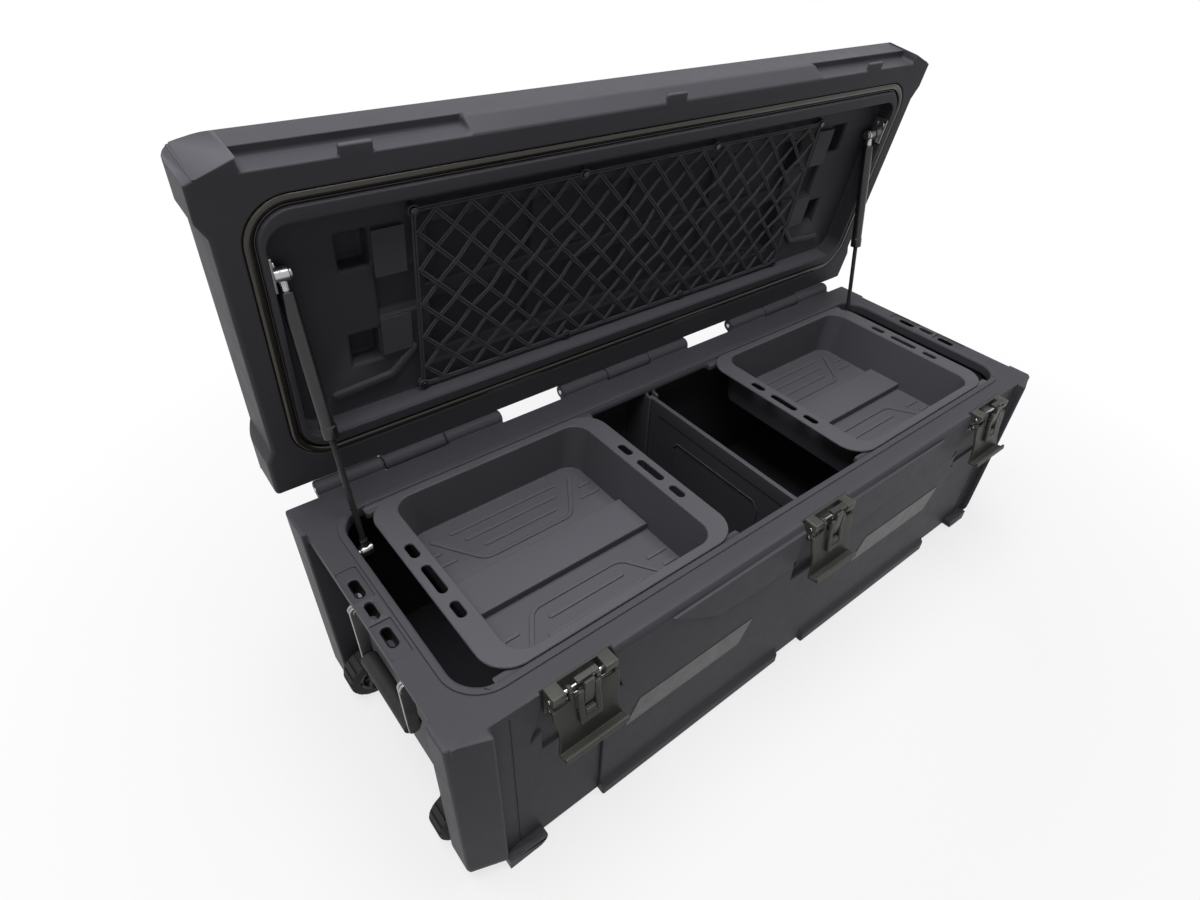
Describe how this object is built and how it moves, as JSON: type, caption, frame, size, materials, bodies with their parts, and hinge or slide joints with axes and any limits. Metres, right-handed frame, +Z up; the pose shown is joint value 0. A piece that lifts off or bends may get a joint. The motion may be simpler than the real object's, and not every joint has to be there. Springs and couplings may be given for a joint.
{
  "type": "cargo case",
  "caption": "Long moulded cargo case with a strut-held hinged lid, lift-out trays, an upright divider, draw latches, end handles and wheels at one end.",
  "frame": {"origin": "on the ground, below the middle of the base", "axes": "+X along the length towards the end without wheels, -Y towards the latches, +Z up"},
  "size_m": [1.208, 0.5669, 0.7918],
  "materials": {
    "shell_plastic": "matte moulded charcoal",
    "tray_plastic": "satin moulded grey",
    "label_film": "fine speckled film, bare",
    "latch_plastic": "semi-gloss black",
    "gasket_rubber": "smooth tube",
    "net_cord": "braided elastic cord",
    "strut_black": "gloss black",
    "rod_steel": "dark nitrided rod",
    "steel": "plain steel",
    "zinc": "zinc plate",
    "grip_rubber": "moulded grip",
    "tyre": "blocky tread",
    "hub_plastic": "moulded spokes"
  },
  "bodies": {
    "base": {"base_tub": "shell_plastic", "label_plates": "label_film", "hinge_pins": "steel", "strut_base_bracket_left": "zinc", "strut_base_bracket_right": "zinc", "strut_base_bracket_screws": "zinc", "latch_mount_left": "latch_plastic", "latch_mount_middle": "latch_plastic", "latch_mount_right": "latch_plastic", "latch_pivot_pins": "steel", "latch_mount_screws": "steel", "handle_brackets_left": "zinc", "handle_brackets_right": "zinc", "wheel_axle_front": "steel", "wheel_axle_rear": "steel"},
    "lid": {"lid_shell": "shell_plastic", "lid_liner": "shell_plastic", "lid_gasket": "gasket_rubber", "cargo_net": "net_cord", "net_screws": "steel", "strut_lid_bracket_left": "zinc", "strut_lid_bracket_right": "zinc", "strut_lid_bracket_screws": "zinc"},
    "divider": {"divider": "shell_plastic"},
    "strut_cylinder_left": {"strut_cylinder_left": "strut_black", "strut_gland_left": "steel", "strut_lid_eye_left": "steel"},
    "strut_rod_left": {"strut_rod_left": "rod_steel", "strut_base_eye_left": "steel"},
    "tray_left": {"tray_left": "tray_plastic"},
    "handle_left": {"handle_bail_left": "zinc", "handle_grip_left": "grip_rubber"},
    "strut_cylinder_right": {"strut_cylinder_right": "strut_black", "strut_gland_right": "steel", "strut_lid_eye_right": "steel"},
    "strut_rod_right": {"strut_rod_right": "rod_steel", "strut_base_eye_right": "steel"},
    "tray_right": {"tray_right": "tray_plastic"},
    "handle_right": {"handle_bail_right": "zinc", "handle_grip_right": "grip_rubber"},
    "latch_lever_left": {"latch_lever_left": "latch_plastic", "latch_hook_pin_left": "steel"},
    "latch_hook_left": {"latch_hook_left": "rod_steel"},
    "latch_catch_left": {"latch_catch_left": "latch_plastic"},
    "latch_lever_middle": {"latch_lever_middle": "latch_plastic", "latch_hook_pin_middle": "steel"},
    "latch_hook_middle": {"latch_hook_middle": "rod_steel"},
    "latch_catch_middle": {"latch_catch_middle": "latch_plastic"},
    "latch_lever_right": {"latch_lever_right": "latch_plastic", "latch_hook_pin_right": "steel"},
    "latch_hook_right": {"latch_hook_right": "rod_steel"},
    "latch_catch_right": {"latch_catch_right": "latch_plastic"},
    "wheel_front": {"tyre_front": "tyre", "wheel_hub_front": "hub_plastic"},
    "wheel_rear": {"tyre_rear": "tyre", "wheel_hub_rear": "hub_plastic"}
  },
  "joints": [
    {"name": "lid_hinge", "type": "hinge", "parent": "base", "child": "lid", "pos_m": [0, 0.238, 0.327], "axis": [-1, 0, 0], "range_deg": [-80.8, 0], "stiffness_Nm_per_rad": 5, "springref_deg": 57.3},
    {"name": "divider_lift", "type": "slide", "parent": "base", "child": "divider", "axis": [0, 0, 1], "range_m": [0, 0.3]},
    {"name": "strut_pivot_left", "type": "hinge", "parent": "lid", "child": "strut_cylinder_left", "pos_m": [-0.53, 0.2061, 0.64904], "axis": [1, 0, 0], "range_deg": [-0.01, 0.53]},
    {"name": "strut_slide_left", "type": "slide", "parent": "strut_cylinder_left", "child": "strut_rod_left", "axis": [0, -0.1578, -0.9875], "range_m": [-0.1384, 0.0005]},
    {"name": "tray_lift_left", "type": "slide", "parent": "base", "child": "tray_left", "axis": [0, 0, 1], "range_m": [0, 0.12]},
    {"name": "handle_swing_left", "type": "hinge", "parent": "base", "child": "handle_left", "pos_m": [-0.583, 0, 0.259], "axis": [0, 1, 0], "range_deg": [0, 95]},
    {"name": "strut_pivot_right", "type": "hinge", "parent": "lid", "child": "strut_cylinder_right", "pos_m": [0.53, 0.2061, 0.64904], "axis": [1, 0, 0], "range_deg": [-0.01, 0.53]},
    {"name": "strut_slide_right", "type": "slide", "parent": "strut_cylinder_right", "child": "strut_rod_right", "axis": [0, -0.1578, -0.9875], "range_m": [-0.1384, 0.0005]},
    {"name": "tray_lift_right", "type": "slide", "parent": "base", "child": "tray_right", "axis": [0, 0, 1], "range_m": [0, 0.12]},
    {"name": "handle_swing_right", "type": "hinge", "parent": "base", "child": "handle_right", "pos_m": [0.583, 0, 0.259], "axis": [0, -1, 0], "range_deg": [0, 95]},
    {"name": "latch_left", "type": "hinge", "parent": "base", "child": "latch_lever_left", "pos_m": [-0.437, -0.2185, 0.317], "axis": [-1, 0, 0], "range_deg": [-10, 85]},
    {"name": "latch_hook_turn_left", "type": "hinge", "parent": "latch_lever_left", "child": "latch_hook_left", "pos_m": [-0.437, -0.21912, 0.30198], "axis": [-1, 0, 0], "range_deg": [-85, 10]},
    {"name": "latch_catch_turn_left", "type": "hinge", "parent": "latch_lever_left", "child": "latch_catch_left", "pos_m": [-0.437, -0.21912, 0.30198], "axis": [-1, 0, 0], "range_deg": [0, 20]},
    {"name": "latch_middle", "type": "hinge", "parent": "base", "child": "latch_lever_middle", "pos_m": [0, -0.2185, 0.317], "axis": [-1, 0, 0], "range_deg": [-10, 85]},
    {"name": "latch_hook_turn_middle", "type": "hinge", "parent": "latch_lever_middle", "child": "latch_hook_middle", "pos_m": [0, -0.21912, 0.30198], "axis": [-1, 0, 0], "range_deg": [-85, 10]},
    {"name": "latch_catch_turn_middle", "type": "hinge", "parent": "latch_lever_middle", "child": "latch_catch_middle", "pos_m": [0, -0.21912, 0.30198], "axis": [-1, 0, 0], "range_deg": [0, 20]},
    {"name": "latch_right", "type": "hinge", "parent": "base", "child": "latch_lever_right", "pos_m": [0.437, -0.2185, 0.317], "axis": [-1, 0, 0], "range_deg": [-10, 85]},
    {"name": "latch_hook_turn_right", "type": "hinge", "parent": "latch_lever_right", "child": "latch_hook_right", "pos_m": [0.437, -0.21912, 0.30198], "axis": [-1, 0, 0], "range_deg": [-85, 10]},
    {"name": "latch_catch_turn_right", "type": "hinge", "parent": "latch_lever_right", "child": "latch_catch_right", "pos_m": [0.437, -0.21912, 0.30198], "axis": [-1, 0, 0], "range_deg": [0, 20]},
    {"name": "wheel_spin_front", "type": "hinge", "parent": "base", "child": "wheel_front", "pos_m": [-0.57, -0.135, 0.042], "axis": [0, 1, 0], "continuous": true},
    {"name": "wheel_spin_rear", "type": "hinge", "parent": "base", "child": "wheel_rear", "pos_m": [-0.57, 0.135, 0.042], "axis": [0, 1, 0], "continuous": true}
  ],
  "couplings": [
    {"joint": "strut_pivot_left", "follows": "lid_hinge", "ratio": -0.006409},
    {"joint": "strut_slide_left", "follows": "lid_hinge", "m_per_rad": 0.098035},
    {"joint": "strut_pivot_right", "follows": "lid_hinge", "ratio": -0.006409},
    {"joint": "strut_slide_right", "follows": "lid_hinge", "m_per_rad": 0.098035},
    {"joint": "latch_hook_turn_left", "follows": "latch_left", "ratio": -1},
    {"joint": "latch_hook_turn_middle", "follows": "latch_middle", "ratio": -1},
    {"joint": "latch_hook_turn_right", "follows": "latch_right", "ratio": -1}
  ]
}
